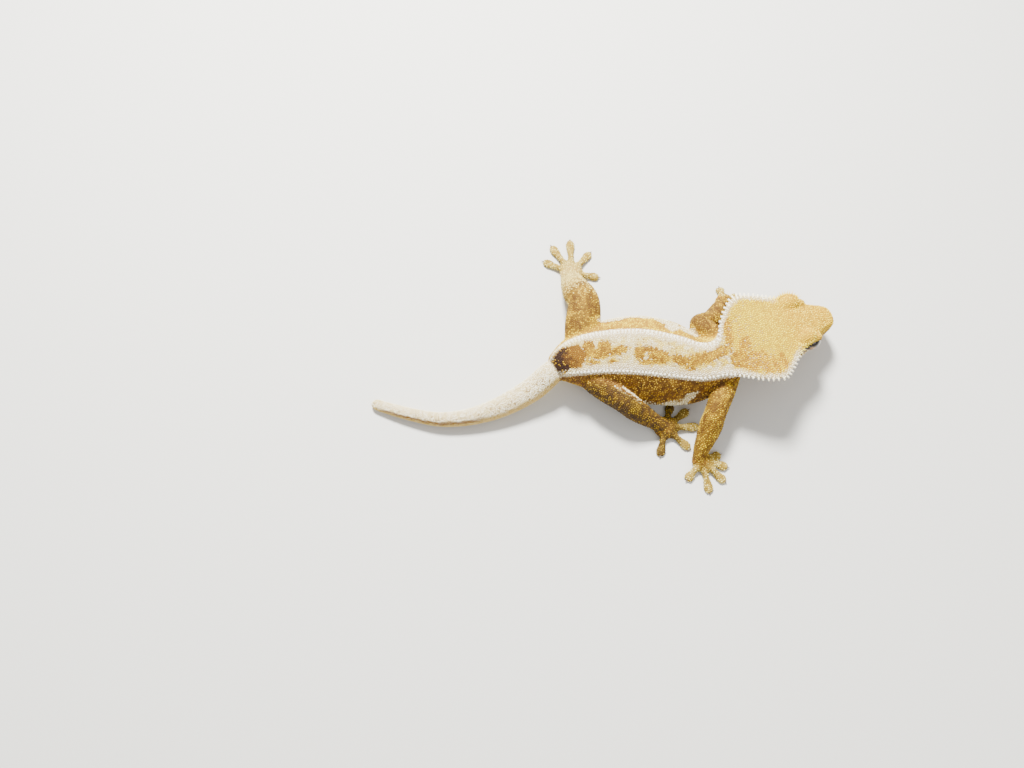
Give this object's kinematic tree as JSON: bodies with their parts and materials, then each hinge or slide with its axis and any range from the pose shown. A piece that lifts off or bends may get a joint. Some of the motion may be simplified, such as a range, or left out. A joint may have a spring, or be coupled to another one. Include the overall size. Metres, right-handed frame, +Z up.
{
  "type": "crested gecko",
  "caption": "Life-size still model of a crested gecko crouched flat with its head turned left, toes spread and tail trailing; a shelf or display figure.",
  "frame": {"origin": "on the ground, under the middle of the whole animal's outline", "axes": "+X along the trunk towards the head, +Y to the animal's left, +Z up"},
  "size_m": [0.1812, 0.1084, 0.027],
  "materials": {
    "head_skin": "granular scaled skin, yellow tan with cream crests",
    "back_skin": "granular scaled skin, cream back with orange brown blotches",
    "limb_skin": "granular scaled skin, tan brown with yellow specks",
    "tail_skin": "fine scaled skin, cream white with brown specks",
    "toe_skin": "fine scaled skin, pale cream",
    "eye": "polished, dark with a brown rim"
  },
  "bodies": {
    "root": {"head": "head_skin", "neck": "back_skin", "torso": "back_skin", "hips": "back_skin", "tail_base": "tail_skin", "tail_middle": "tail_skin", "tail_tip": "tail_skin", "eye_left": "eye", "eye_right": "eye", "upper_arm_left": "limb_skin", "forearm_left": "limb_skin", "thigh_left": "limb_skin", "shank_left": "limb_skin", "hand_left": "toe_skin", "foot_left": "toe_skin", "upper_arm_right": "limb_skin", "forearm_right": "limb_skin", "thigh_right": "limb_skin", "shank_right": "limb_skin", "hand_right": "toe_skin", "foot_right": "toe_skin"}
  },
  "joints": []
}
